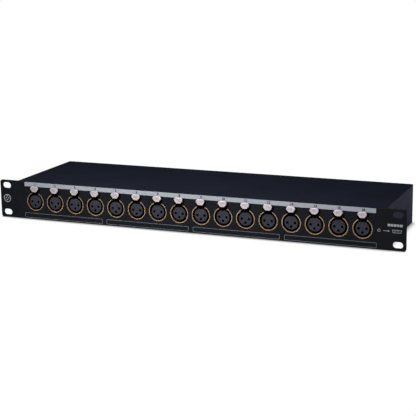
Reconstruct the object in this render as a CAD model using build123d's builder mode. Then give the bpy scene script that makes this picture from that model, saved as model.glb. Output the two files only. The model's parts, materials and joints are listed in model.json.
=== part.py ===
from build123d import *
import os
from math import radians, tan

# Audio patch bay: a 1U rack unit with sixteen latching 3-pin sockets in front and two 25-way
# D-sub sockets behind. Millimetres. X runs to the right of someone facing the panel, Y to the
# rear and Z up. The origin is the centre of the four rack slots, on the panel's rear face.

os.makedirs("parts", exist_ok=True)

# ---- front panel, a standard 19-inch 1U plate ----
PANEL_WIDTH = 482.6
PANEL_HEIGHT = 44.0
PANEL_THICKNESS = 2.0
PANEL_CORNER = 2.5
PANEL_EDGE_BREAK = 0.3
RACK_SLOT_SPACING_X = 465.1
RACK_SLOT_SPACING_Z = 31.75
RACK_SLOT_LENGTH = 11.0
RACK_SLOT_WIDTH = 7.0

# ---- chassis of folded sheet ----
SHEET = 1.2
CHASSIS_WIDTH = 437.0
CHASSIS_REAR = 125.0
CHASSIS_BOTTOM = -21.5
CHASSIS_TOP = 21.7
CHASSIS_CORNER = 2.5
FLANGE_DEPTH = 16.0
WINDOW_HALF_WIDTH = 208.6
WINDOW_BOTTOM = -14.9
WINDOW_TOP = 19.0
TRAY_TOP = CHASSIS_TOP - SHEET
FLOOR = CHASSIS_BOTTOM + SHEET
FLANGE_UNDERSIDE = TRAY_TOP - SHEET
REAR_WALL = CHASSIS_REAR - SHEET

# ---- sixteen sockets in a row ----
SOCKET_COUNT = 16
SOCKET_PITCH = 26.0
SOCKET_Z = -1.15
socket_xs = [(n - (SOCKET_COUNT - 1) / 2) * SOCKET_PITCH for n in range(SOCKET_COUNT)]
socket_places = [(x, SOCKET_Z) for x in socket_xs]

BEZEL_RADIUS = 10.75
BEZEL_BORE = 10.0
BEZEL_PROUD = 0.1
BEZEL_OPENING_ANGLE = 54.0
OPENING_REACH = 2 * BEZEL_RADIUS
OPENING_HALF = OPENING_REACH * tan(radians(BEZEL_OPENING_ANGLE / 2))
PANEL_HOLE_RADIUS = 10.8
NOTCH_TOP = 15.9
NOTCH_WAIST = 11.5
NOTCH_BOTTOM = 8.0
NOTCH_HALF_WIDTH = 6.6
NOTCH_NECK = 4.7
NOTCH_TOP_FILLET = 1.6
NOTCH_WAIST_FILLET = 1.0

HOUSING_WIDTH = 25.0
HOUSING_TOP = 18.9
HOUSING_DEPTH = 20.0
WELL_FLATS = 19.2
WELL_DEPTH = 14.5
INSERT_RADIUS = 7.5
SPIGOT_RADIUS = 6.45
SPIGOT_HOLE_FLATS = 13.0
INSERT_EDGE = 0.35
KEYWAY_WIDTH = 2.8
KEYWAY_DEPTH = 0.7
KEYWAY_CORNER = 0.5
KEYWAY_END = 13.5

CONTACT_OFFSET = 4.2
CONTACT_HOLE = 1.5
CONTACT_RADIUS = 1.8
CONTACT_BORE = 1.25
CONTACT_FRONT = 1.0
CONTACT_BORE_END = 12.0
CONTACT_BODY_END = 16.0
CONTACT_TAIL_START = 15.0
CONTACT_TAIL_Y = 22.0
CONTACT_TAIL_RADIUS = 0.45
CONTACT_TAIL_BEND = 1.2

# ---- push latch: a tab in front of the panel, a stem through its notch and a hook behind ----
TAB_FRONT = -4.4
TAB_THICKNESS = 1.2
TAB_BOTTOM = 10.5
TAB_SHOULDER = 13.8
TAB_TOP = 17.1
TAB_HALF_WIDTH = 5.0
TAB_FOOT_HALF_WIDTH = 2.4
TAB_CROWN_FILLET = 2.7
TAB_SHOULDER_FILLET = 1.5
TAB_FOOT_FILLET = 1.2
TAB_EDGE = 0.45
LEVER_HALF_WIDTH = 2.5
LEVER_BOTTOM = 14.0
LEVER_TOP = 15.2
LEVER_ROOT = 0.4
HOOK_FRONT = 11.0
HOOK_BACK = 12.5
HOOK_TIP = 7.45
HOOK_RAMP = 0.9
HOOK_RAMP_HEIGHT = 1.5
PIVOT_Y = 3.5
PIVOT_Z = 16.0
PIVOT_BARREL = 1.5
PIVOT_BORE = 0.85
PIVOT_PIN = 0.8
PIVOT_PIN_HALF_LENGTH = 5.0
LATCH_SLOT_HALF_WIDTH = 2.9
LATCH_SLOT_TOP = 17.9
LATCH_SLOT_BACK = 14.3
SPRING_HALF_WIDTH = 1.5
SPRING_LEAF = 0.3
SPRING_GAP = 0.4
SPRING_TIP_Y = 5.4
SPRING_BEND_Y = 10.5

# ---- number strip ----
STRIP_X = 0.4
STRIP_WIDTH = 417.4
STRIP_THICKNESS = 0.3
STRIP_BOTTOM = 16.5
STRIP_TOP = 21.4
STRIP_CORNER = 0.4

# ---- circuit boards, one for each half ----
BOARD_X = 104.0
BOARD_TOP = -13.0
BOARD_THICKNESS = 1.6
BOARD_BOTTOM = BOARD_TOP - BOARD_THICKNESS
BOARD_WIDTH = 206.0
BOARD_FRONT = 1.6
BOARD_STRIP_END = 48.0
BOARD_TONGUE_WIDTH = 92.0
BOARD_REAR = 121.5
BOARD_CORNER = 1.5
TAIL_HOLE_GAP = 0.15
TAIL_PROUD = 1.0
standoff_spots = [(-95.0, 40.0), (95.0, 40.0), (-38.0, 92.0), (38.0, 92.0)]
STANDOFF_FLATS = 5.5
STANDOFF_NECK = 2.1
M3_RADIUS = 1.5
M3_HEAD_RADIUS = 2.75
M3_HEAD_HEIGHT = 1.8
M3_HEAD_EDGE = 0.4
M3_DRIVE_DEPTH = 1.0
BOARD_SCREW_LENGTH = 5.0

# ---- rear 25-way D-sub sockets ----
DSUB_Z = -6.0
DSUB_SCREW_SPACING = 47.04
DSUB_FLANGE_WIDTH = 53.0
DSUB_FLANGE_HEIGHT = 12.5
DSUB_FLANGE_THICKNESS = 0.8
DSUB_FLANGE_CORNER = 1.0
DSUB_SHELL_WIDTH = 38.4
DSUB_SHELL_HEIGHT = 7.9
DSUB_SHELL_WALL = 0.5
DSUB_SHELL_REACH = 5.9
DSUB_CORNER = 2.4
DSUB_SIDE_ANGLE = 80
DSUB_CUTOUT_GAP = 0.4
DSUB_PITCH = 2.77
DSUB_ROW_GAP = 2.84
DSUB_FACE = REAR_WALL + 5.4
DSUB_BLOCK_FRONT = 112.0
DSUB_CONTACT_RADIUS = 0.75
DSUB_CONTACT_BORE = 0.5
DSUB_CONTACT_SET_BACK = 0.3
DSUB_CONTACT_WELL = 6.0
DSUB_TAIL_START = 113.0
DSUB_TAIL_Y_TOP = 109.0
DSUB_TAIL_Y_BOTTOM = 110.8
DSUB_TAIL_RADIUS = 0.3
DSUB_TAIL_BEND = 0.8
JACKSCREW_FLATS = 4.8
JACKSCREW_HEX_LENGTH = 5.0
JACKSCREW_THREAD = 1.2
JACKSCREW_SHANK = 1.4
JACKSCREW_SHANK_END = 116.0

# ---- fasteners ----
cover_screw_xs = [-180.0, -60.0, 60.0, 180.0]
cover_screw_ys = [11.0, 116.0]
COVER_SCREW_TIP = 19.15
COVER_SCREW_THREAD = 1.25
COVER_SINK_RADIUS = 2.75
COVER_SCREW_HEAD = 2.73
COVER_SCREW_PROUD = 0.15
COVER_SCREW_EDGE = 0.3
COVER_DRIVE_DEPTH = 1.2
SOCKET_DRIVE_FLATS = 2.0
stud_places = [(-213.0, -12.0), (-213.0, 12.0), (213.0, -12.0), (213.0, 12.0)]
stud_places += [(x, -17.7) for x in (-156.0, -52.0, 52.0, 156.0)]
STUD_RADIUS = 1.25
STUD_SEAT_DEPTH = 1.1
STUD_END = 4.6
NUT_FLATS = 5.0
NUT_THICKNESS = 2.0


def front_plane(y, x=0.0, z=0.0):
    """Plane at depth y that faces the front: its local axes are X and Z, and its normal is -Y."""
    return Plane(origin=(x, y, z), x_dir=(1, 0, 0), z_dir=(0, -1, 0))


def hexagon(flats):
    """Regular hexagon of this size across its flats, with two of them level."""
    RegularPolygon(flats / 2, 6, major_radius=False)


def octagon(flats):
    """Regular octagon of this size across its flats, with two of them level."""
    RegularPolygon(flats / 2, 8, major_radius=False, rotation=22.5)


def d_outline(width, height, corner):
    """The D shape of a D-sub connector, its wide side up."""
    with BuildSketch() as outline:
        Trapezoid(width, height, DSUB_SIDE_ANGLE, rotation=180)
        fillet(outline.vertices(), radius=corner)
    return outline.sketch


def save(part, name):
    part.label = name
    export_step(part, f"parts/{name}.step")


# ---- front panel ----
with BuildSketch() as notch:
    with BuildLine():
        Polyline(
            (-NOTCH_NECK, NOTCH_BOTTOM),
            (-NOTCH_HALF_WIDTH, NOTCH_WAIST),
            (-NOTCH_HALF_WIDTH, NOTCH_TOP),
            (NOTCH_HALF_WIDTH, NOTCH_TOP),
            (NOTCH_HALF_WIDTH, NOTCH_WAIST),
            (NOTCH_NECK, NOTCH_BOTTOM),
            close=True,
        )
    make_face()
    fillet(notch.vertices().group_by(Axis.Y)[-1], radius=NOTCH_TOP_FILLET)
    fillet(notch.vertices().filter_by(lambda v: abs(v.Y - NOTCH_WAIST) < 0.01), radius=NOTCH_WAIST_FILLET)

with BuildPart() as front_panel:
    with BuildSketch(front_plane(0)):
        RectangleRounded(PANEL_WIDTH, PANEL_HEIGHT, PANEL_CORNER)
        with GridLocations(RACK_SLOT_SPACING_X, RACK_SLOT_SPACING_Z, 2, 2):
            SlotOverall(RACK_SLOT_LENGTH, RACK_SLOT_WIDTH, mode=Mode.SUBTRACT)
        with Locations(*socket_places):
            Circle(PANEL_HOLE_RADIUS, mode=Mode.SUBTRACT)
        with Locations(*[(x, 0) for x in socket_xs]):
            add(notch.sketch, mode=Mode.SUBTRACT)
    extrude(amount=PANEL_THICKNESS)
    with BuildSketch(front_plane(0)):
        with Locations(*stud_places):
            Circle(STUD_RADIUS)
    extrude(amount=STUD_SEAT_DEPTH, mode=Mode.SUBTRACT)
    chamfer(front_panel.faces().sort_by(Axis.Y)[0].outer_wire().edges(), length=PANEL_EDGE_BREAK)
save(front_panel.part, "front_panel")

with BuildPart() as panel_studs:
    with BuildSketch(front_plane(-STUD_SEAT_DEPTH)):
        with Locations(*stud_places):
            Circle(STUD_RADIUS)
    extrude(amount=-(STUD_SEAT_DEPTH + STUD_END))
save(panel_studs.part, "panel_studs")

with BuildPart() as panel_nuts:
    with BuildSketch(front_plane(SHEET)):
        with Locations(*stud_places):
            hexagon(NUT_FLATS)
            Circle(STUD_RADIUS, mode=Mode.SUBTRACT)
    extrude(amount=-NUT_THICKNESS)
save(panel_nuts.part, "panel_nuts")

with BuildPart() as label_strip:
    with BuildSketch(front_plane(-PANEL_THICKNESS)):
        with Locations((STRIP_X, (STRIP_BOTTOM + STRIP_TOP) / 2)):
            RectangleRounded(STRIP_WIDTH, STRIP_TOP - STRIP_BOTTOM, STRIP_CORNER)
    extrude(amount=STRIP_THICKNESS)
save(label_strip.part, "label_strip")

# ---- chassis tray: floor, sides, rear wall, and a front wall with one wide window ----
with BuildPart() as chassis_tray:
    with BuildSketch(Plane.XY.offset(CHASSIS_BOTTOM)) as footprint:
        Rectangle(CHASSIS_WIDTH, CHASSIS_REAR, align=(Align.CENTER, Align.MIN))
        fillet(footprint.vertices().group_by(Axis.Y)[-1], radius=CHASSIS_CORNER)
    extrude(amount=TRAY_TOP - CHASSIS_BOTTOM)
    with BuildSketch(Plane.XY.offset(FLOOR)):
        with Locations((0, (SHEET + REAR_WALL) / 2)):
            Rectangle(CHASSIS_WIDTH - 2 * SHEET, REAR_WALL - SHEET)
    extrude(amount=FLANGE_UNDERSIDE - FLOOR, mode=Mode.SUBTRACT)
    with BuildSketch(Plane.XY.offset(FLANGE_UNDERSIDE)):
        with Locations((0, CHASSIS_REAR / 2)):
            Rectangle(CHASSIS_WIDTH - 2 * SHEET, CHASSIS_REAR - 2 * FLANGE_DEPTH)
    extrude(amount=SHEET, mode=Mode.SUBTRACT)
    with BuildSketch(front_plane(0)):
        with Locations((0, (WINDOW_BOTTOM + WINDOW_TOP) / 2)):
            Rectangle(2 * WINDOW_HALF_WIDTH, WINDOW_TOP - WINDOW_BOTTOM)
        with Locations(*stud_places):
            Circle(STUD_RADIUS)
    extrude(amount=-SHEET, mode=Mode.SUBTRACT)
    with BuildSketch(front_plane(CHASSIS_REAR)):
        with Locations((-BOARD_X, DSUB_Z), (BOARD_X, DSUB_Z)):
            add(
                d_outline(
                    DSUB_SHELL_WIDTH + 2 * DSUB_CUTOUT_GAP,
                    DSUB_SHELL_HEIGHT + 2 * DSUB_CUTOUT_GAP,
                    DSUB_CORNER + DSUB_CUTOUT_GAP,
                )
            )
        for side in (-BOARD_X, BOARD_X):
            with Locations((side - DSUB_SCREW_SPACING / 2, DSUB_Z), (side + DSUB_SCREW_SPACING / 2, DSUB_Z)):
                Circle(JACKSCREW_SHANK)
    extrude(amount=SHEET, mode=Mode.SUBTRACT)
    with BuildSketch(Plane.XY.offset(CHASSIS_BOTTOM)):
        for side in (-BOARD_X, BOARD_X):
            with Locations(*[(side + x, y) for x, y in standoff_spots]):
                Circle(STANDOFF_NECK)
    extrude(amount=SHEET, mode=Mode.SUBTRACT)
    with BuildSketch(Plane.XY.offset(FLANGE_UNDERSIDE)):
        with Locations(*[(x, y) for x in cover_screw_xs for y in cover_screw_ys]):
            Circle(COVER_SCREW_THREAD)
    extrude(amount=SHEET, mode=Mode.SUBTRACT)
save(chassis_tray.part, "chassis_tray")

# ---- top cover: a flat lid screwed down on the tray's flanges ----
with BuildPart() as top_cover:
    with BuildSketch(Plane.XY.offset(TRAY_TOP)) as lid_outline:
        Rectangle(CHASSIS_WIDTH, CHASSIS_REAR, align=(Align.CENTER, Align.MIN))
        fillet(lid_outline.vertices().group_by(Axis.Y)[-1], radius=CHASSIS_CORNER)
    extrude(amount=SHEET)
    with Locations(*[(x, y, CHASSIS_TOP) for x in cover_screw_xs for y in cover_screw_ys]):
        CounterSinkHole(M3_RADIUS, COVER_SINK_RADIUS, counter_sink_angle=90)
save(top_cover.part, "top_cover")

with BuildPart() as one_cover_screw:
    with BuildSketch(Plane.XZ):
        with BuildLine():
            Polyline(
                (0, COVER_SCREW_TIP),
                (COVER_SCREW_THREAD, COVER_SCREW_TIP),
                (COVER_SCREW_THREAD, TRAY_TOP),
                (COVER_SCREW_HEAD - SHEET, TRAY_TOP),
                (COVER_SCREW_HEAD, CHASSIS_TOP),
                (COVER_SCREW_HEAD - COVER_SCREW_EDGE, CHASSIS_TOP + COVER_SCREW_PROUD),
                (0, CHASSIS_TOP + COVER_SCREW_PROUD),
                close=True,
            )
        make_face()
    revolve(axis=Axis.Z)
    with BuildSketch(Plane.XY.offset(CHASSIS_TOP + COVER_SCREW_PROUD)):
        hexagon(SOCKET_DRIVE_FLATS)
    extrude(amount=-COVER_DRIVE_DEPTH, mode=Mode.SUBTRACT)

with BuildPart() as cover_screws:
    with Locations(*[(x, y, 0) for x in cover_screw_xs for y in cover_screw_ys]):
        add(one_cover_screw.part)
save(cover_screws.part, "cover_screws")

# ---- socket housings ----
def socket_housing(x):
    """Moulded body: an eight-sided well whose flats guide the plug, and above it the latch's slot."""
    with BuildPart() as housing:
        with BuildSketch(front_plane(0, x)):
            with Locations((0, (BOARD_TOP + HOUSING_TOP) / 2)):
                Rectangle(HOUSING_WIDTH, HOUSING_TOP - BOARD_TOP)
        extrude(amount=-HOUSING_DEPTH)
        with BuildSketch(front_plane(0, x, SOCKET_Z)):
            octagon(WELL_FLATS)
        extrude(amount=-WELL_DEPTH, mode=Mode.SUBTRACT)
        with BuildSketch(front_plane(0, x)):
            with Locations((0, LATCH_SLOT_TOP)):
                Rectangle(
                    2 * LATCH_SLOT_HALF_WIDTH, LATCH_SLOT_TOP - SOCKET_Z, align=(Align.CENTER, Align.MAX)
                )
        extrude(amount=-LATCH_SLOT_BACK, mode=Mode.SUBTRACT)
        with BuildSketch(front_plane(WELL_DEPTH, x, SOCKET_Z)):
            octagon(SPIGOT_HOLE_FLATS)
        extrude(amount=-(HOUSING_DEPTH - WELL_DEPTH), mode=Mode.SUBTRACT)
        with BuildSketch(Plane.YZ.offset(x)):
            with Locations((PIVOT_Y, PIVOT_Z)):
                Circle(PIVOT_PIN)
        extrude(amount=PIVOT_PIN_HALF_LENGTH, both=True, mode=Mode.SUBTRACT)
    return housing.part


for n, x in enumerate(socket_xs, start=1):
    save(socket_housing(x), f"xlr_housing_{n:02d}")

# ---- brass-coloured trim ring round each socket, open at the top for the latch ----
with BuildSketch() as ring_outline:
    Circle(BEZEL_RADIUS)
    Circle(BEZEL_BORE, mode=Mode.SUBTRACT)
    Polygon((0, 0), (OPENING_HALF, OPENING_REACH), (-OPENING_HALF, OPENING_REACH), align=None, mode=Mode.SUBTRACT)

with BuildPart() as bezel_rings:
    with BuildSketch(front_plane(0)):
        with Locations(*socket_places):
            add(ring_outline.sketch)
    extrude(amount=PANEL_THICKNESS + BEZEL_PROUD)
save(bezel_rings.part, "bezel_rings")

# ---- contact carriers, with three holes and a keyway at the top ----
contact_spots = [(-CONTACT_OFFSET, 0.0), (CONTACT_OFFSET, 0.0), (0.0, -CONTACT_OFFSET)]
with BuildPart() as one_insert:
    with BuildSketch(front_plane(-PANEL_THICKNESS)):
        Circle(INSERT_RADIUS)
    extrude(amount=-(PANEL_THICKNESS + WELL_DEPTH))
    chamfer(one_insert.faces().sort_by(Axis.Y)[0].edges(), length=INSERT_EDGE)
    with BuildSketch(front_plane(WELL_DEPTH)):
        Circle(SPIGOT_RADIUS)
    extrude(amount=-(HOUSING_DEPTH - WELL_DEPTH))
    with BuildSketch(front_plane(-PANEL_THICKNESS)):
        with Locations((0, INSERT_RADIUS)):
            RectangleRounded(KEYWAY_WIDTH, 2 * KEYWAY_DEPTH, KEYWAY_CORNER)
        with Locations(*contact_spots):
            Circle(CONTACT_HOLE)
    extrude(amount=-(PANEL_THICKNESS + KEYWAY_END), mode=Mode.SUBTRACT)
    with BuildSketch(front_plane(CONTACT_FRONT)):
        with Locations(*contact_spots):
            Circle(CONTACT_RADIUS)
    extrude(amount=-HOUSING_DEPTH, mode=Mode.SUBTRACT)

with BuildPart() as contact_inserts:
    with Locations(*[(x, 0, SOCKET_Z) for x in socket_xs]):
        add(one_insert.part)
save(contact_inserts.part, "contact_inserts")

# ---- contacts: a tube for the plug's pin, then a tail bent down through the board ----
with BuildPart() as one_contact:
    with BuildSketch(front_plane(CONTACT_FRONT)):
        Circle(CONTACT_RADIUS)
    extrude(amount=-(CONTACT_BODY_END - CONTACT_FRONT))
    with BuildSketch(front_plane(CONTACT_FRONT)):
        Circle(CONTACT_BORE)
    extrude(amount=-(CONTACT_BORE_END - CONTACT_FRONT), mode=Mode.SUBTRACT)


def contact_with_tail(x, z):
    """Contact at this place in its socket, with its tail through the circuit board."""
    with BuildPart() as contact:
        with Locations((x, 0, z)):
            add(one_contact.part)
        with BuildLine():
            FilletPolyline(
                (x, CONTACT_TAIL_START, z),
                (x, CONTACT_TAIL_Y, z),
                (x, CONTACT_TAIL_Y, BOARD_BOTTOM - TAIL_PROUD),
                radius=CONTACT_TAIL_BEND,
            )
        with BuildSketch(front_plane(CONTACT_TAIL_START, x, z)):
            Circle(CONTACT_TAIL_RADIUS)
        sweep()
    return contact.part


socket_contacts = [contact_with_tail(x, SOCKET_Z + z) for x, z in contact_spots]
with BuildPart() as contact_sockets:
    with Locations(*[(x, 0, 0) for x in socket_xs]):
        for contact in socket_contacts:
            add(contact)
save(contact_sockets.part, "contact_sockets")

# ---- push latches ----
def push_latch(x):
    """Lever on a cross pin: pressing the tab in and down lifts the hook out of the plug's window."""
    with BuildPart() as latch:
        with BuildSketch(front_plane(TAB_FRONT + TAB_THICKNESS, x)) as tab:
            with BuildLine():
                Polyline(
                    (-TAB_FOOT_HALF_WIDTH, TAB_BOTTOM),
                    (-TAB_HALF_WIDTH, TAB_SHOULDER),
                    (-TAB_HALF_WIDTH, TAB_TOP),
                    (TAB_HALF_WIDTH, TAB_TOP),
                    (TAB_HALF_WIDTH, TAB_SHOULDER),
                    (TAB_FOOT_HALF_WIDTH, TAB_BOTTOM),
                    close=True,
                )
            make_face()
            fillet(tab.vertices().group_by(Axis.Y)[-1], radius=TAB_CROWN_FILLET)
            fillet(tab.vertices().group_by(Axis.Y)[0], radius=TAB_FOOT_FILLET)
            fillet(
                tab.vertices().filter_by(lambda v: abs(v.Y - TAB_SHOULDER) < 0.01), radius=TAB_SHOULDER_FILLET
            )
        extrude(amount=TAB_THICKNESS)
        fillet(latch.faces().sort_by(Axis.Y)[0].edges(), radius=TAB_EDGE)
        with BuildSketch(Plane.YZ.offset(x)):
            with BuildLine():
                Polyline(
                    (TAB_FRONT + TAB_THICKNESS - LEVER_ROOT, LEVER_BOTTOM),
                    (HOOK_FRONT, LEVER_BOTTOM),
                    (HOOK_FRONT, HOOK_TIP + HOOK_RAMP_HEIGHT),
                    (HOOK_FRONT + HOOK_RAMP, HOOK_TIP),
                    (HOOK_BACK, HOOK_TIP),
                    (HOOK_BACK, LEVER_TOP),
                    (TAB_FRONT + TAB_THICKNESS - LEVER_ROOT, LEVER_TOP),
                    close=True,
                )
            make_face()
            with Locations((PIVOT_Y, PIVOT_Z)):
                Circle(PIVOT_BARREL)
                Circle(PIVOT_BORE, mode=Mode.SUBTRACT)
        extrude(amount=LEVER_HALF_WIDTH, both=True)
    return latch.part


for n, x in enumerate(socket_xs, start=1):
    save(push_latch(x), f"push_latch_{n:02d}")

with BuildPart() as latch_pivot_pins:
    for x in socket_xs:
        with BuildSketch(Plane.YZ.offset(x)):
            with Locations((PIVOT_Y, PIVOT_Z)):
                Circle(PIVOT_PIN)
        extrude(amount=PIVOT_PIN_HALF_LENGTH, both=True)
save(latch_pivot_pins.part, "latch_pivot_pins")

# A leaf clamped under the roof of the latch slot presses the lever's arm down just behind its pivot.
with BuildPart() as latch_springs:
    for x in socket_xs:
        with BuildSketch(Plane.YZ.offset(x)):
            with BuildLine():
                Polyline(
                    (LATCH_SLOT_BACK, LATCH_SLOT_TOP),
                    (LATCH_SLOT_BACK, LATCH_SLOT_TOP - SPRING_LEAF),
                    (SPRING_BEND_Y, LATCH_SLOT_TOP - SPRING_LEAF),
                    (SPRING_TIP_Y, LEVER_TOP + SPRING_GAP),
                    (SPRING_TIP_Y, LEVER_TOP + SPRING_GAP + SPRING_LEAF),
                    (SPRING_BEND_Y, LATCH_SLOT_TOP),
                    close=True,
                )
            make_face()
        extrude(amount=SPRING_HALF_WIDTH, both=True)
save(latch_springs.part, "latch_springs")

# ---- circuit boards: a strip under eight sockets and a tongue back to the D-sub ----
contact_holes = [
    (x + spot_x, CONTACT_TAIL_Y) for x in socket_xs[: SOCKET_COUNT // 2] for spot_x, _ in contact_spots
]
dsub_top_row = [(n - 6) * DSUB_PITCH for n in range(13)]
dsub_bottom_row = [(n - 5.5) * DSUB_PITCH for n in range(12)]


def circuit_board(centre_x):
    """Board under one half of the sockets, centred at this x."""
    with BuildPart() as board:
        with BuildSketch(Plane.XY.offset(BOARD_BOTTOM)) as outline:
            with Locations((centre_x, (BOARD_FRONT + BOARD_STRIP_END) / 2)):
                Rectangle(BOARD_WIDTH, BOARD_STRIP_END - BOARD_FRONT)
            with Locations((centre_x, (BOARD_FRONT + BOARD_REAR) / 2)):
                Rectangle(BOARD_TONGUE_WIDTH, BOARD_REAR - BOARD_FRONT)
            fillet(outline.vertices(), radius=BOARD_CORNER)
            with Locations(*[(centre_x + BOARD_X + x, y) for x, y in contact_holes]):
                Circle(CONTACT_TAIL_RADIUS + TAIL_HOLE_GAP, mode=Mode.SUBTRACT)
            with Locations(*[(centre_x + x, y) for x, y in standoff_spots]):
                Circle(M3_RADIUS, mode=Mode.SUBTRACT)
            with Locations(*[(centre_x + x, DSUB_TAIL_Y_TOP) for x in dsub_top_row]):
                Circle(DSUB_TAIL_RADIUS + TAIL_HOLE_GAP, mode=Mode.SUBTRACT)
            with Locations(*[(centre_x + x, DSUB_TAIL_Y_BOTTOM) for x in dsub_bottom_row]):
                Circle(DSUB_TAIL_RADIUS + TAIL_HOLE_GAP, mode=Mode.SUBTRACT)
        extrude(amount=BOARD_THICKNESS)
    return board.part


save(circuit_board(-BOARD_X), "circuit_board_left")
save(circuit_board(BOARD_X), "circuit_board_right")

all_standoffs = [(side + x, y) for side in (-BOARD_X, BOARD_X) for x, y in standoff_spots]
with BuildPart() as board_standoffs:
    with BuildSketch(Plane.XY.offset(FLOOR)):
        with Locations(*all_standoffs):
            hexagon(STANDOFF_FLATS)
    extrude(amount=BOARD_BOTTOM - FLOOR)
    with BuildSketch(Plane.XY.offset(CHASSIS_BOTTOM)):
        with Locations(*all_standoffs):
            Circle(STANDOFF_NECK)
    extrude(amount=SHEET)
    with BuildSketch(Plane.XY.offset(FLOOR)):
        with Locations(*all_standoffs):
            Circle(M3_RADIUS)
    extrude(amount=BOARD_BOTTOM - FLOOR, mode=Mode.SUBTRACT)
save(board_standoffs.part, "board_standoffs")

with BuildPart() as board_screws:
    with BuildSketch(Plane.XY.offset(BOARD_TOP)):
        with Locations(*all_standoffs):
            Circle(M3_HEAD_RADIUS)
    extrude(amount=M3_HEAD_HEIGHT)
    chamfer(board_screws.faces().sort_by(Axis.Z)[-len(all_standoffs):].edges(), length=M3_HEAD_EDGE)
    with BuildSketch(Plane.XY.offset(BOARD_TOP)):
        with Locations(*all_standoffs):
            Circle(M3_RADIUS)
    extrude(amount=-BOARD_SCREW_LENGTH)
    with BuildSketch(Plane.XY.offset(BOARD_TOP + M3_HEAD_HEIGHT)):
        with Locations(*all_standoffs):
            hexagon(SOCKET_DRIVE_FLATS)
    extrude(amount=-M3_DRIVE_DEPTH, mode=Mode.SUBTRACT)
save(board_screws.part, "board_screws")

# ---- rear D-sub sockets ----
dsub_bores = [(x, DSUB_ROW_GAP / 2) for x in dsub_top_row]
dsub_bores += [(x, -DSUB_ROW_GAP / 2) for x in dsub_bottom_row]


def dsub_shell(centre_x):
    """Pressed metal flange behind the rear wall, with its D-shaped nose through the cut-out."""
    screws = [(-DSUB_SCREW_SPACING / 2, 0), (DSUB_SCREW_SPACING / 2, 0)]
    inner_width = DSUB_SHELL_WIDTH - 2 * DSUB_SHELL_WALL
    inner_height = DSUB_SHELL_HEIGHT - 2 * DSUB_SHELL_WALL
    with BuildPart() as shell:
        with BuildSketch(front_plane(REAR_WALL, centre_x, DSUB_Z)):
            RectangleRounded(DSUB_FLANGE_WIDTH, DSUB_FLANGE_HEIGHT, DSUB_FLANGE_CORNER)
            with Locations(*screws):
                Circle(JACKSCREW_SHANK, mode=Mode.SUBTRACT)
        extrude(amount=DSUB_FLANGE_THICKNESS)
        with BuildSketch(front_plane(REAR_WALL, centre_x, DSUB_Z)):
            add(d_outline(DSUB_SHELL_WIDTH, DSUB_SHELL_HEIGHT, DSUB_CORNER))
        extrude(amount=-DSUB_SHELL_REACH)
        with BuildSketch(front_plane(REAR_WALL - DSUB_FLANGE_THICKNESS, centre_x, DSUB_Z)):
            add(d_outline(inner_width, inner_height, DSUB_CORNER - DSUB_SHELL_WALL))
        extrude(amount=-(DSUB_FLANGE_THICKNESS + DSUB_SHELL_REACH), mode=Mode.SUBTRACT)
    return shell.part


def dsub_insulator(centre_x):
    """Moulding that fills the nose and stands on the board, with a hole for each contact."""
    screws = [(-DSUB_SCREW_SPACING / 2, 0), (DSUB_SCREW_SPACING / 2, 0)]
    flange_face = REAR_WALL - DSUB_FLANGE_THICKNESS
    block_top = DSUB_Z + DSUB_FLANGE_HEIGHT / 2
    with BuildPart() as insulator:
        with BuildSketch(front_plane(DSUB_BLOCK_FRONT, centre_x)):
            with Locations((0, (BOARD_TOP + block_top) / 2)):
                Rectangle(DSUB_FLANGE_WIDTH, block_top - BOARD_TOP)
        extrude(amount=-(flange_face - DSUB_BLOCK_FRONT))
        with BuildSketch(front_plane(flange_face, centre_x, DSUB_Z)):
            add(
                d_outline(
                    DSUB_SHELL_WIDTH - 2 * DSUB_SHELL_WALL,
                    DSUB_SHELL_HEIGHT - 2 * DSUB_SHELL_WALL,
                    DSUB_CORNER - DSUB_SHELL_WALL,
                )
            )
        extrude(amount=-(DSUB_FACE - flange_face))
        with BuildSketch(front_plane(DSUB_BLOCK_FRONT, centre_x, DSUB_Z)):
            with Locations(*dsub_bores):
                Circle(DSUB_CONTACT_RADIUS)
            with Locations(*screws):
                Circle(JACKSCREW_SHANK)
        extrude(amount=-(DSUB_FACE - DSUB_BLOCK_FRONT), mode=Mode.SUBTRACT)
    return insulator.part


def dsub_contact(x, z, tail_y):
    """Tubular contact flush with the moulding's face, with a tail bent down through the board."""
    with BuildPart() as contact:
        with BuildSketch(front_plane(DSUB_BLOCK_FRONT, x, z)):
            Circle(DSUB_CONTACT_RADIUS)
        extrude(amount=-(DSUB_FACE - DSUB_CONTACT_SET_BACK - DSUB_BLOCK_FRONT))
        with BuildSketch(front_plane(DSUB_FACE, x, z)):
            Circle(DSUB_CONTACT_BORE)
        extrude(amount=DSUB_CONTACT_WELL, mode=Mode.SUBTRACT)
        with BuildLine():
            FilletPolyline(
                (x, DSUB_TAIL_START, z),
                (x, tail_y, z),
                (x, tail_y, BOARD_BOTTOM - TAIL_PROUD),
                radius=DSUB_TAIL_BEND,
            )
        with BuildSketch(front_plane(DSUB_TAIL_START, x, z)):
            Circle(DSUB_TAIL_RADIUS)
        sweep()
    return contact.part


top_row_contact = dsub_contact(0, DSUB_Z + DSUB_ROW_GAP / 2, DSUB_TAIL_Y_TOP)
bottom_row_contact = dsub_contact(0, DSUB_Z - DSUB_ROW_GAP / 2, DSUB_TAIL_Y_BOTTOM)
for name, centre_x in (("left", -BOARD_X), ("right", BOARD_X)):
    save(dsub_shell(centre_x), f"dsub_shell_{name}")
    save(dsub_insulator(centre_x), f"dsub_insulator_{name}")
    with BuildPart() as dsub_contacts:
        with Locations(*[(centre_x + x, 0, 0) for x in dsub_top_row]):
            add(top_row_contact)
        with Locations(*[(centre_x + x, 0, 0) for x in dsub_bottom_row]):
            add(bottom_row_contact)
    save(dsub_contacts.part, f"dsub_contacts_{name}")

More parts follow.
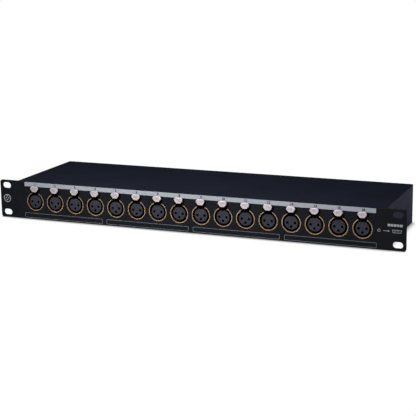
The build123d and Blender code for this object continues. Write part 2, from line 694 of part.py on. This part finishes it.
jackscrew_places = [
    (side + end * DSUB_SCREW_SPACING / 2, DSUB_Z) for side in (-BOARD_X, BOARD_X) for end in (-1, 1)
]
with BuildPart() as dsub_jackscrews:
    with BuildSketch(front_plane(CHASSIS_REAR)):
        with Locations(*jackscrew_places):
            hexagon(JACKSCREW_FLATS)
    extrude(amount=-JACKSCREW_HEX_LENGTH)
    with BuildSketch(front_plane(CHASSIS_REAR)):
        with Locations(*jackscrew_places):
            Circle(JACKSCREW_SHANK)
    extrude(amount=CHASSIS_REAR - JACKSCREW_SHANK_END)
    with BuildSketch(front_plane(CHASSIS_REAR + JACKSCREW_HEX_LENGTH)):
        with Locations(*jackscrew_places):
            Circle(JACKSCREW_THREAD)
    extrude(amount=JACKSCREW_HEX_LENGTH, mode=Mode.SUBTRACT)
save(dsub_jackscrews.part, "dsub_jackscrews")
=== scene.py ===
import json
from math import cos, pi, radians, sin

import bmesh
import bpy
from mathutils import Matrix, Vector


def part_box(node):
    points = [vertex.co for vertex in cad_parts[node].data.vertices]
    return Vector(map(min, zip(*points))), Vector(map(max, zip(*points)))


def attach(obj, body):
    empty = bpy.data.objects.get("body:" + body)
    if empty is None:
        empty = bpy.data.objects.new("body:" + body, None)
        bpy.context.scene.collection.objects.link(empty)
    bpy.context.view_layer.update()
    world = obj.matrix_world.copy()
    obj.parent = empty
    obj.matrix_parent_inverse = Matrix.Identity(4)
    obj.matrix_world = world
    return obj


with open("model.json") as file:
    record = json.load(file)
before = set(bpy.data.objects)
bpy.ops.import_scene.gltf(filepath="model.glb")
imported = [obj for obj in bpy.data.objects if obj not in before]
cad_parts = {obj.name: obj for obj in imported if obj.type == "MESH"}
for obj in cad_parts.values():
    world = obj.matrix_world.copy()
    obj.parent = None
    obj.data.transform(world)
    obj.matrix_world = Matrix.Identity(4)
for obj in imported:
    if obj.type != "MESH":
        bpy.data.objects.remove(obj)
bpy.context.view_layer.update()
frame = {"nodes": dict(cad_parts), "record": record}

MM = 0.001
SOCKETS = 16
nodes = frame["nodes"]
record = frame["record"]


# ---- places read from the frame ----

def centre(node):
    """Middle of a CAD node's box."""
    low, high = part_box(node)
    return (low + high) / 2


panel_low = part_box("front_panel")[0]
strip_low, strip_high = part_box("label_strip")
tray_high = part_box("chassis_tray")[1]
PANEL_FACE = panel_low.y
STRIP_FACE = strip_low.y
REAR_FACE = tray_high.y
socket_xs = [centre(f"xlr_housing_{n:02d}").x for n in range(1, SOCKETS + 1)]
PRINT_X = (strip_low.x + strip_high.x) / 2
PRINT_LIFT = 0.03 * MM
PRINT_SINK = 0.02 * MM
DIGIT_SHIFT = 0.7 * MM
WHITE = (1, 1, 1)


# ---- materials ----

class Nodes:
    """A new node material with one Principled shader, and short calls that add to it."""

    def __init__(self, name, **sockets):
        self.material = bpy.data.materials.new(name)
        self.material.use_nodes = True
        self.tree = self.material.node_tree
        self.tree.nodes.clear()
        self.shader = self.add("ShaderNodeBsdfPrincipled")
        self.output = self.add("ShaderNodeOutputMaterial")
        self.link(self.shader.outputs["BSDF"], self.output.inputs["Surface"])
        for socket, value in sockets.items():
            self.shader.inputs[socket.replace("_", " ")].default_value = value
        self.place = self.add("ShaderNodeTexCoord").outputs["Object"]
        self.height = None

    def add(self, kind):
        return self.tree.nodes.new(kind)

    def link(self, source, target):
        self.tree.links.new(source, target)

    def stretched(self, scale):
        """Object coordinates multiplied by a factor for each axis."""
        mapping = self.add("ShaderNodeMapping")
        mapping.inputs["Scale"].default_value = scale
        self.link(self.place, mapping.inputs["Vector"])
        return mapping.outputs["Vector"]

    def noise(self, scale, detail=3.0, roughness=0.5, where=None):
        """Noise of this many cells to the metre."""
        noise = self.add("ShaderNodeTexNoise")
        noise.inputs["Scale"].default_value = scale
        noise.inputs["Detail"].default_value = detail
        noise.inputs["Roughness"].default_value = roughness
        self.link(where or self.place, noise.inputs["Vector"])
        return noise.outputs["Fac"]

    def span(self, value, low, high, start=0.3, end=0.7):
        """The value from start to end, spread from low to high."""
        span = self.add("ShaderNodeMapRange")
        for socket, number in (("From Min", start), ("From Max", end), ("To Min", low), ("To Max", high)):
            span.inputs[socket].default_value = number
        self.link(value, span.inputs["Value"])
        return span.outputs["Result"]

    def mixed(self, factor, first, second):
        """A colour between two colours or colour outputs."""
        mix = self.add("ShaderNodeMix")
        mix.data_type = "RGBA"
        self.link(factor, mix.inputs["Factor"])
        for colour, socket in ((first, mix.inputs["A"]), (second, mix.inputs["B"])):
            if isinstance(colour, tuple):
                socket.default_value = (*colour, 1)
            else:
                self.link(colour, socket)
        return mix.outputs["Result"]

    def product(self, first, second):
        times = self.add("ShaderNodeMath")
        times.operation = "MULTIPLY"
        self.link(first, times.inputs[0])
        self.link(second, times.inputs[1])
        return times.outputs["Value"]

    def sunk(self, colour, deep, start, end):
        """A colour that goes over to another between two depths behind the panel's rear face, in metres; it
        paints shade deep in holes.
        """
        parts = self.add("ShaderNodeSeparateXYZ")
        self.link(self.place, parts.inputs["Vector"])
        return self.mixed(self.span(parts.outputs["Y"], 0, 1, start, end), colour, deep)

    def colour(self, source):
        self.link(source, self.shader.inputs["Base Color"])

    def rough(self, source):
        self.link(source, self.shader.inputs["Roughness"])

    def bump(self, height, strength, distance):
        """A bump laid over any bump already there, with its depth in metres."""
        bump = self.add("ShaderNodeBump")
        bump.inputs["Strength"].default_value = strength
        bump.inputs["Distance"].default_value = distance
        self.link(height, bump.inputs["Height"])
        if self.height is not None:
            self.link(self.height, bump.inputs["Normal"])
        self.height = bump.outputs["Normal"]
        self.link(self.height, self.shader.inputs["Normal"])


def shade(colour, factor):
    """A colour made lighter or darker."""
    return tuple(c * factor for c in colour)


def powder_coat(name, colour, roughness, gloss):
    """Baked paint: fine orange peel, a fine grain over it, and faint handling marks."""
    m = Nodes(name, Specular_IOR_Level=gloss)
    blotches = m.noise(22, 3, 0.55)
    grain = m.noise(2600, 2, 0.6)
    speckle = m.noise(900, 2, 0.7)
    tone = m.mixed(m.span(blotches, 0, 1), shade(colour, 0.88), shade(colour, 1.12))
    m.colour(m.mixed(m.span(speckle, 0, 0.35, 0.58, 0.75), tone, shade(colour, 1.7)))
    smears = m.noise(60, 4, 0.6, m.stretched((0.35, 1.0, 1.6)))
    m.rough(m.span(smears, roughness - 0.05, roughness + 0.07))
    m.bump(m.noise(520, 1.5, 0.4), 0.22, 0.06 * MM)
    m.bump(grain, 0.35, 0.03 * MM)
    return m.material


def moulded(name, colour, roughness, gloss=0.3, face=None):
    """Moulded plastic: a spark-eroded grain, and slow changes of tone from its flow in the mould.

    Behind a face at this depth it is painted dark: painted shade, as in a deep hole.
    """
    m = Nodes(name, Specular_IOR_Level=gloss)
    flow = m.noise(120, 3, 0.55, m.stretched((1, 0.5, 1)))
    grain = m.noise(3200, 2.5, 0.65)
    tone = m.mixed(m.span(flow, 0, 1), shade(colour, 0.85), shade(colour, 1.18))
    tone = m.mixed(m.span(grain, 0, 0.5, 0.5, 0.75), tone, shade(colour, 1.5))
    # painted shade: behind the given face the colour goes dark, deep in the holes and gaps
    m.colour(tone if face is None else m.sunk(tone, shade(colour, 0.03), face + 0.15 * MM, face + 0.5 * MM))
    m.rough(m.span(grain, roughness - 0.08, roughness + 0.08))
    m.bump(grain, 0.5, 0.05 * MM)
    return m.material


def metal(name, colour, roughness, grain_scale=(1, 1, 1), tarnish=0.8, painted_shade_to=None, metallic=1.0):
    """Bare or plated metal: fine scratches along the grain, dull patches and small pits.

    In front of a given depth it is painted dark: painted shade, as inside a deep hole.
    """
    m = Nodes(name, Metallic=metallic)
    patches = m.noise(140, 4, 0.6)
    scratches = m.noise(1500, 3, 0.7, m.stretched(grain_scale))
    tone = m.mixed(m.span(patches, 0, 1), shade(colour, tarnish), colour)
    tone = m.mixed(m.span(scratches, 0, 0.35), tone, shade(colour, tarnish * 0.85))
    # painted shade: in front of the given depth the colour goes dark, as deep in a bore
    m.colour(tone if painted_shade_to is None else m.sunk(shade(colour, 0.02), tone, painted_shade_to, painted_shade_to + MM))
    wear = m.product(m.span(patches, 0.85, 1.2), m.span(scratches, roughness * 0.85, roughness * 1.2))
    m.rough(wear)
    m.bump(scratches, 0.3, 0.02 * MM)
    return m.material


def anodised(name, colour, roughness):
    """Matte anodised or foil strip: grain along its length, with faint specks."""
    m = Nodes(name, Metallic=0.12, Specular_IOR_Level=0.35)
    lines = m.noise(900, 3, 0.65, m.stretched((0.03, 1, 1)))
    patches = m.noise(45, 3, 0.5)
    specks = m.noise(1700, 1.5, 0.6)
    tone = m.mixed(m.span(lines, 0, 1), shade(colour, 0.93), shade(colour, 1.05))
    tone = m.mixed(m.span(patches, 0, 0.5), tone, shade(colour, 0.93))
    m.colour(m.mixed(m.span(specks, 0, 0.25, 0.6, 0.75), tone, shade(colour, 0.6)))
    m.rough(m.span(lines, roughness - 0.06, roughness + 0.06))
    m.bump(lines, 0.25, 0.02 * MM)
    return m.material


def laminate(name, colour):
    """Circuit board: solder mask over a glass weave, with faint copper shadows beneath."""
    m = Nodes(name, Specular_IOR_Level=0.5, Coat_Weight=0.3, Coat_Roughness=0.2)
    weave = m.add("ShaderNodeTexWave")
    weave.inputs["Scale"].default_value = 900
    weave.inputs["Distortion"].default_value = 0.4
    m.link(m.place, weave.inputs["Vector"])
    copper = m.noise(90, 2, 0.3, m.stretched((1, 0.25, 1)))
    tone = m.mixed(m.span(copper, 0, 1, 0.48, 0.53), shade(colour, 0.75), shade(colour, 1.3))
    m.colour(m.mixed(m.span(weave.outputs["Fac"], 0, 0.2), tone, shade(colour, 1.6)))
    m.rough(m.span(copper, 0.32, 0.45))
    m.bump(weave.outputs["Fac"], 0.2, 0.02 * MM)
    return m.material


def ink(name, colour):
    """Screen-printed ink: slightly uneven cover and pinholes from the mesh."""
    m = Nodes(name, Specular_IOR_Level=0.2)
    cover = m.noise(700, 3, 0.6)
    holes = m.noise(4200, 2, 0.6)
    tone = m.mixed(m.span(cover, 0, 1), shade(colour, 0.82), colour)
    m.colour(m.mixed(m.span(holes, 0, 0.5, 0.6, 0.75), tone, shade(colour, 0.45)))
    m.rough(m.span(cover, 0.5, 0.65))
    m.bump(holes, 0.3, 0.01 * MM)
    return m.material


def turned_trim(name, colour):
    """Gilt trim ring: satin metal with lathe marks and a few darker spots."""
    m = Nodes(name, Metallic=1.0)
    spots = m.noise(420, 3, 0.6)
    turning = m.noise(5200, 2, 0.6)
    m.colour(m.mixed(m.span(spots, 0, 1), shade(colour, 0.8), shade(colour, 1.08)))
    m.rough(m.span(turning, 0.3, 0.46))
    m.bump(turning, 0.25, 0.02 * MM)
    return m.material


materials = {
    "panel_paint": powder_coat("panel_paint", (0.0074, 0.0084, 0.0122), 0.50, 0.13),
    "chassis_paint": powder_coat("chassis_paint", (0.0170, 0.0180, 0.0340), 0.55, 0.10),
    "cover_paint": powder_coat("cover_paint", (0.0150, 0.0175, 0.0285), 0.55, 0.02),
    "label_silver": anodised("label_silver", (0.415, 0.435, 0.485), 0.5),
    "black_screws": metal("black_screws", (0.055, 0.056, 0.062), 0.45, tarnish=0.7),
    "plated_steel": metal("plated_steel", (0.56, 0.57, 0.58), 0.34),
    "spring_steel": metal("spring_steel", (0.42, 0.43, 0.45), 0.32, (1, 0.1, 1)),
    "latch_metal": metal("latch_metal", (0.82, 0.745, 0.77), 0.38, (1, 1, 0.15), 0.9, metallic=0.55),
    "brass_trim": turned_trim("brass_trim", (0.80, 0.54, 0.29)),
    # painted shade: the contacts go dark in front of 14 mm, deep in their bores
    "contact_gold": metal("contact_gold", (0.78, 0.56, 0.24), 0.28, painted_shade_to=14 * MM),
    "housing_plastic": moulded("housing_plastic", (0.0035, 0.0035, 0.004), 0.6, 0.06),
    # painted shade: the insert goes dark from half a millimetre behind the panel's front face, in its holes
    # and gaps
    "insert_plastic": moulded("insert_plastic", (0.0405, 0.0400, 0.0550), 0.6, 0.12, PANEL_FACE),
    "board_laminate": laminate("board_laminate", (0.012, 0.10, 0.035)),
    "dsub_tin": metal("dsub_tin", (0.60, 0.60, 0.59), 0.38),
    "dsub_plastic": moulded("dsub_plastic", (0.012, 0.012, 0.014), 0.5),
}
for part in record["subparts"]:
    cad = nodes[part["node"]]
    for used in cad.material_slots:
        used.link = "DATA"
        used.material = materials[part["material_slot"]]

outline_ink = ink("outline_ink", (0.21, 0.216, 0.248))
mark_ink = ink("mark_ink", (0.52, 0.52, 0.54))
digit_ink = ink("digit_ink", (0.012, 0.013, 0.02))


# ---- flat prints, each a thin raised layer ----

# the four outlines under the sockets
OUTLINE_PITCH = 106.2 * MM
OUTLINE_Z = -17.78 * MM
OUTLINE_WIDTH = 101 * MM
OUTLINE_HEIGHT = 5.7 * MM
OUTLINE_LINE = 0.45 * MM
OUTLINE_CORNER = 0.9 * MM

# the socket sign on the left ear
EMBLEM_X = -232.5 * MM
EMBLEM_Z = 0.5 * MM
EMBLEM_RADIUS = 4.7 * MM
EMBLEM_BORE = 3.9 * MM
EMBLEM_PIN = 0.75 * MM

# the two rows of marks on the right ear
BAR_ROW_X = 223 * MM
BAR_ROW_Z = 5 * MM
BAR_PITCH = 3.2 * MM
BAR_HEIGHT = 2.6 * MM
BAR_CORNER = 0.5 * MM
SIGN_ROW_Z = -1.4 * MM
SOCKET_SIGN_X = 212.5 * MM
ARROW_X = 219.5 * MM
ARROW_TIP_X = 223.9 * MM
D_SIGN_X = 231.5 * MM
D_SIGN_PITCH = 1.6 * MM

# the numbers on the strip and at the rear
DIGIT_SIZE = 3.6 * MM
DIGIT_BOLD = 0.17 * MM
REAR_DIGIT_SIZE = 4.6 * MM
REAR_DIGIT_BOLD = 0.04 * MM
REAR_DIGIT_Z = 6.5 * MM

# the ribs on the push tabs
GRIP_DROP = 3.2 * MM
GRIP_PITCH = 1.05 * MM
GRIP_HEIGHT = 0.42 * MM
GRIP_CORNER = 0.2 * MM
GRIP_LIFT = 2.5


def mesh_piece(name, bm, material, body="chassis"):
    """A finished piece from a bmesh, riding on a body."""
    bmesh.ops.recalc_face_normals(bm, faces=bm.faces)
    mesh = bpy.data.meshes.new(name)
    bm.to_mesh(mesh)
    bm.free()
    mesh.materials.append(material)
    piece = bpy.data.objects.new(name, mesh)
    bpy.context.scene.collection.objects.link(piece)
    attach(piece, body)


def raise_loop(bm, outer, inner=None):
    """A slab in the panel's plane from a closed outline of (x, z) points, or a band between two outlines."""
    front = [bm.verts.new((x, -PRINT_LIFT, z)) for x, z in outer]
    back = [bm.verts.new((x, PRINT_SINK, z)) for x, z in outer]
    count = len(outer)
    for i in range(count):
        j = (i + 1) % count
        bm.faces.new((front[i], front[j], back[j], back[i]))
    if inner is None:
        bm.faces.new(front)
        bm.faces.new(back[::-1])
        return
    inner_front = [bm.verts.new((x, -PRINT_LIFT, z)) for x, z in inner]
    inner_back = [bm.verts.new((x, PRINT_SINK, z)) for x, z in inner]
    for i in range(count):
        j = (i + 1) % count
        bm.faces.new((inner_front[j], inner_front[i], inner_back[i], inner_back[j]))
        bm.faces.new((front[j], front[i], inner_front[i], inner_front[j]))
        bm.faces.new((back[i], back[j], inner_back[j], inner_back[i]))


def rounded_box(cx, cz, width, height, corner, steps=5):
    """Outline of a rectangle with round corners."""
    points = []
    corners = ((1, 1, 0), (-1, 1, 90), (-1, -1, 180), (1, -1, 270))
    for sx, sz, start in corners:
        for k in range(steps + 1):
            angle = radians(start + 90 * k / steps)
            points.append(
                (
                    cx + sx * (width / 2 - corner) + corner * cos(angle),
                    cz + sz * (height / 2 - corner) + corner * sin(angle),
                )
            )
    return points


def circle(cx, cz, radius, steps=48):
    """Outline of a circle."""
    turns = [2 * pi * k / steps for k in range(steps)]
    return [(cx + radius * cos(turn), cz + radius * sin(turn)) for turn in turns]


def panel_outlines():
    """Four printed boxes under the sockets, one for each group of four."""
    bm = bmesh.new()
    for group in range(4):
        middle = PRINT_X + (group - 1.5) * OUTLINE_PITCH
        outer = rounded_box(middle, OUTLINE_Z, OUTLINE_WIDTH, OUTLINE_HEIGHT, OUTLINE_CORNER)
        inner = rounded_box(
            middle,
            OUTLINE_Z,
            OUTLINE_WIDTH - 2 * OUTLINE_LINE,
            OUTLINE_HEIGHT - 2 * OUTLINE_LINE,
            OUTLINE_CORNER - OUTLINE_LINE,
        )
        raise_loop(bm, outer, inner)
    bmesh.ops.translate(bm, verts=bm.verts, vec=(0, PANEL_FACE, 0))
    mesh_piece("panel_outline_print", bm, outline_ink)


def socket_emblem():
    """A generic three-pin socket sign on the left ear."""
    bm = bmesh.new()
    x, z = EMBLEM_X, EMBLEM_Z
    raise_loop(bm, circle(x, z, EMBLEM_RADIUS), circle(x, z, EMBLEM_BORE))
    for dx, dz in ((-1.7, 0.3), (1.7, 0.3), (0.0, -1.7)):
        raise_loop(bm, circle(x + dx * MM, z + dz * MM, EMBLEM_PIN, 20))
    raise_loop(bm, rounded_box(x, z + 2.6 * MM, 1.6 * MM, 1.1 * MM, 0.4 * MM))
    bmesh.ops.translate(bm, verts=bm.verts, vec=(0, PANEL_FACE, 0))
    mesh_piece("socket_emblem_print", bm, mark_ink)


def d_shape(cx, cz, half_top, half_bottom, half_height):
    """Outline of a D-sub connector's face, wide side up."""
    return [
        (cx - half_top, cz + half_height),
        (cx - half_bottom, cz - half_height),
        (cx + half_bottom, cz - half_height),
        (cx + half_top, cz + half_height),
    ]


def flow_marks():
    """Generic signs on the right ear: bars for the channels over socket, arrow and D-sub signs."""
    bm = bmesh.new()
    for k in range(5):
        width = (3.0 if k % 2 == 0 else 2.2) * MM
        raise_loop(bm, rounded_box(BAR_ROW_X + k * BAR_PITCH, BAR_ROW_Z, width, BAR_HEIGHT, BAR_CORNER))
    z = SIGN_ROW_Z
    raise_loop(bm, circle(SOCKET_SIGN_X, z, 1.6 * MM, 28), circle(SOCKET_SIGN_X, z, 1.25 * MM, 28))
    raise_loop(bm, circle(SOCKET_SIGN_X, z, 0.4 * MM, 14))
    raise_loop(bm, rounded_box(ARROW_X, z, 5.4 * MM, 0.45 * MM, 0.2 * MM))
    barb = ARROW_TIP_X - 1.9 * MM
    raise_loop(bm, [(ARROW_TIP_X, z), (barb, z + 1.15 * MM), (barb, z - 1.15 * MM)])
    raise_loop(
        bm,
        d_shape(D_SIGN_X, z, 5.2 * MM, 4.3 * MM, 1.6 * MM),
        d_shape(D_SIGN_X, z, 4.75 * MM, 4.0 * MM, 1.2 * MM),
    )
    for k in range(5):
        raise_loop(bm, circle(D_SIGN_X + (k - 2) * D_SIGN_PITCH, z, 0.35 * MM, 12))
    bmesh.ops.translate(bm, verts=bm.verts, vec=(0, PANEL_FACE, 0))
    mesh_piece("flow_marks_print", bm, mark_ink)


def text_mesh(words, size, bold):
    """Mesh of a short text, centred, standing in the XZ plane and facing the front."""
    curve = bpy.data.curves.new("words", "FONT")
    curve.body = words
    curve.size = size
    curve.align_x = "CENTER"
    curve.align_y = "CENTER"
    curve.extrude = (PRINT_LIFT + PRINT_SINK) / 2
    curve.offset = bold
    curve.resolution_u = 4
    holder = bpy.data.objects.new("words", curve)
    bpy.context.scene.collection.objects.link(holder)
    bpy.context.view_layer.update()
    ready = holder.evaluated_get(bpy.context.evaluated_depsgraph_get())
    mesh = bpy.data.meshes.new_from_object(ready)
    bpy.data.objects.remove(holder)
    bpy.data.curves.remove(curve)
    mesh.transform(Matrix.Rotation(pi / 2, 4, "X"))
    return mesh


def words_piece(name, entries, material, face_back=False):
    """One piece from several texts, given as (words, size, bold, place)."""
    bm = bmesh.new()
    for words, size, bold, place in entries:
        mesh = text_mesh(words, size, bold)
        if face_back:
            mesh.transform(Matrix.Rotation(pi, 4, "Z"))
        mesh.transform(Matrix.Translation(place))
        bm.from_mesh(mesh)
        bpy.data.meshes.remove(mesh)
    mesh_piece(name, bm, material)


def strip_numbers():
    """The numbers 1 to 16 on the silver strip, one over each socket."""
    middle = (strip_low.z + strip_high.z) / 2
    lift = (PRINT_LIFT - PRINT_SINK) / 2
    entries = [
        (str(n), DIGIT_SIZE, DIGIT_BOLD, Vector((x + DIGIT_SHIFT, STRIP_FACE - lift, middle + 0.1 * MM)))
        for n, x in enumerate(socket_xs, start=1)
    ]
    words_piece("strip_number_print", entries, digit_ink)


def rear_numbers():
    """Channel numbers over the two rear D-sub sockets."""
    lift = (PRINT_LIFT - PRINT_SINK) / 2
    entries = []
    for node, words in (("dsub_shell_left", "1-8"), ("dsub_shell_right", "9-16")):
        place = Vector((centre(node).x, REAR_FACE + lift, REAR_DIGIT_Z))
        entries.append((words, REAR_DIGIT_SIZE, REAR_DIGIT_BOLD, place))
    words_piece("rear_number_print", entries, mark_ink, face_back=True)


def latch_grips():
    """Three ribs on each push tab, thicker than a print, which move with its latch."""
    for n, x in enumerate(socket_xs, start=1):
        low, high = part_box(f"push_latch_{n:02d}")
        middle = Vector((x, low.y, high.z - GRIP_DROP))
        bm = bmesh.new()
        for k in range(3):
            width = (4.6 - 0.7 * abs(k - 1)) * MM
            raise_loop(bm, rounded_box(0, (k - 1) * GRIP_PITCH, width, GRIP_HEIGHT, GRIP_CORNER, 3))
        for vert in bm.verts:
            vert.co.y = vert.co.y * GRIP_LIFT if vert.co.y < 0 else vert.co.y
        bmesh.ops.translate(bm, verts=bm.verts, vec=middle)
        mesh_piece(f"latch_grip_{n:02d}", bm, grip_metal, f"latch_{n:02d}")


grip_metal = metal("grip_metal", (0.62, 0.55, 0.58), 0.4, (1, 1, 0.15), 0.85, metallic=0.6)
panel_outlines()
socket_emblem()
flow_marks()
strip_numbers()
rear_numbers()
latch_grips()


# ---- floor, light and camera ----

FLOOR_HALF = 6.0
FLOOR_GAP = 0.2 * MM
PAINTED_SHADOW_REACH = 11 * MM


def studio_floor():
    """Pale floor just under the panel's lower edge, white but for a narrow painted shadow where the panel
    stands.
    """
    bm = bmesh.new()
    z = panel_low.z - FLOOR_GAP
    sides = ((-1, -1), (1, -1), (1, 1), (-1, 1))
    bm.faces.new([bm.verts.new((x * FLOOR_HALF, y * FLOOR_HALF, z)) for x, y in sides])
    mesh = bpy.data.meshes.new("studio_floor")
    bm.to_mesh(mesh)
    bm.free()
    pale = Nodes("floor_white", Roughness=0.9, Specular_IOR_Level=0.0)
    pale.colour(pale.mixed(pale.noise(3, 2), shade(WHITE, 0.60), shade(WHITE, 0.62)))
    # painted shadow: for the camera the floor glows white, darkened by ambient occlusion near the panel
    painted_shadow_ao = pale.add("ShaderNodeAmbientOcclusion")
    painted_shadow_ao.inputs["Distance"].default_value = PAINTED_SHADOW_REACH
    seen = pale.add("ShaderNodeEmission")
    pale.link(pale.span(painted_shadow_ao.outputs["AO"], 0.2, 1, 0.45, 0.85), seen.inputs["Strength"])
    path = pale.add("ShaderNodeLightPath")
    either = pale.add("ShaderNodeMixShader")
    pale.link(path.outputs["Is Camera Ray"], either.inputs["Fac"])
    pale.link(pale.shader.outputs["BSDF"], either.inputs[1])
    pale.link(seen.outputs["Emission"], either.inputs[2])
    pale.link(either.outputs["Shader"], pale.output.inputs["Surface"])
    mesh.materials.append(pale.material)
    floor = bpy.data.objects.new("studio_floor", mesh)
    bpy.context.scene.collection.objects.link(floor)


def area_light(name, place, aim, width, height, power, colour=WHITE):
    """Rectangular softbox aimed at a point, with its power in watts."""
    light = bpy.data.lights.new(name, "AREA")
    light.shape = "RECTANGLE"
    light.size = width
    light.size_y = height
    light.energy = power
    light.color = colour
    holder = bpy.data.objects.new(name, light)
    holder.visible_camera = False
    holder.location = place
    holder.rotation_euler = (Vector(aim) - Vector(place)).to_track_quat("-Z", "Y").to_euler()
    bpy.context.scene.collection.objects.link(holder)


def studio_light():
    """White surroundings for the camera, dim ones for the object, and five softboxes."""
    world = bpy.data.worlds.new("studio")
    world.use_nodes = True
    tree = world.node_tree
    tree.nodes.clear()
    output = tree.nodes.new("ShaderNodeOutputWorld")
    seen = tree.nodes.new("ShaderNodeBackground")
    seen.inputs["Color"].default_value = (1, 1, 1, 1)
    seen.inputs["Strength"].default_value = 1.0
    around = tree.nodes.new("ShaderNodeBackground")
    around.inputs["Color"].default_value = (0.93, 0.95, 1, 1)
    around.inputs["Strength"].default_value = 0.025
    path = tree.nodes.new("ShaderNodeLightPath")
    either = tree.nodes.new("ShaderNodeMixShader")
    tree.links.new(path.outputs["Is Camera Ray"], either.inputs["Fac"])
    tree.links.new(around.outputs["Background"], either.inputs[1])
    tree.links.new(seen.outputs["Background"], either.inputs[2])
    tree.links.new(either.outputs["Shader"], output.inputs["Surface"])
    bpy.context.scene.world = world
    area_light("key_softbox", (-0.03, -0.20, 0.20), (0, 0.02, 0), 0.36, 0.16, 0.82)
    area_light("lid_softbox", (0, -0.10, 0.13), (0, 0.03, 0.02), 0.60, 0.08, 0.10)
    area_light("top_softbox", (0, -0.20, 1.60), (0, 0, 0), 1.60, 0.90, 9.6)
    area_light("side_softbox", (1.20, 0.40, 0.25), (tray_high.x, 0.06, 0), 0.60, 0.40, 3.6, (0.5, 0.56, 1))
    area_light("rear_softbox", (0, 0.75, 0), (0, REAR_FACE, 0), 0.80, 0.036, 1.6)


CAMERA_AZIMUTH = 22.73
CAMERA_ELEVATION = 13.23
CAMERA_ROLL = -0.91
CAMERA_DISTANCE = 1.3247
CAMERA_AIM = Vector((0.02155, PANEL_FACE, 0.0077))
CAMERA_LENS = 105.2
SENSOR = 36.0


def add_camera():
    """Camera in front of the panel, to the right of its middle and a little above it."""
    azimuth, elevation, roll = (radians(a) for a in (CAMERA_AZIMUTH, CAMERA_ELEVATION, CAMERA_ROLL))
    back = Vector((sin(azimuth) * cos(elevation), -cos(azimuth) * cos(elevation), sin(elevation)))
    right = Vector((cos(azimuth), sin(azimuth), 0))
    up = back.cross(right)
    turned_right = right * cos(roll) + up * sin(roll)
    turned_up = up * cos(roll) - right * sin(roll)
    place = CAMERA_AIM + back * CAMERA_DISTANCE
    lens = bpy.data.cameras.new("camera")
    lens.lens = CAMERA_LENS
    lens.sensor_width = SENSOR
    lens.clip_start = 0.05
    camera = bpy.data.objects.new("camera", lens)
    turn = Matrix((turned_right, turned_up, back)).transposed().to_4x4()
    camera.matrix_world = Matrix.Translation(place) @ turn
    bpy.context.scene.collection.objects.link(camera)
    bpy.context.scene.camera = camera


studio_floor()
studio_light()
add_camera()
bpy.context.scene.view_settings.view_transform = "Standard"
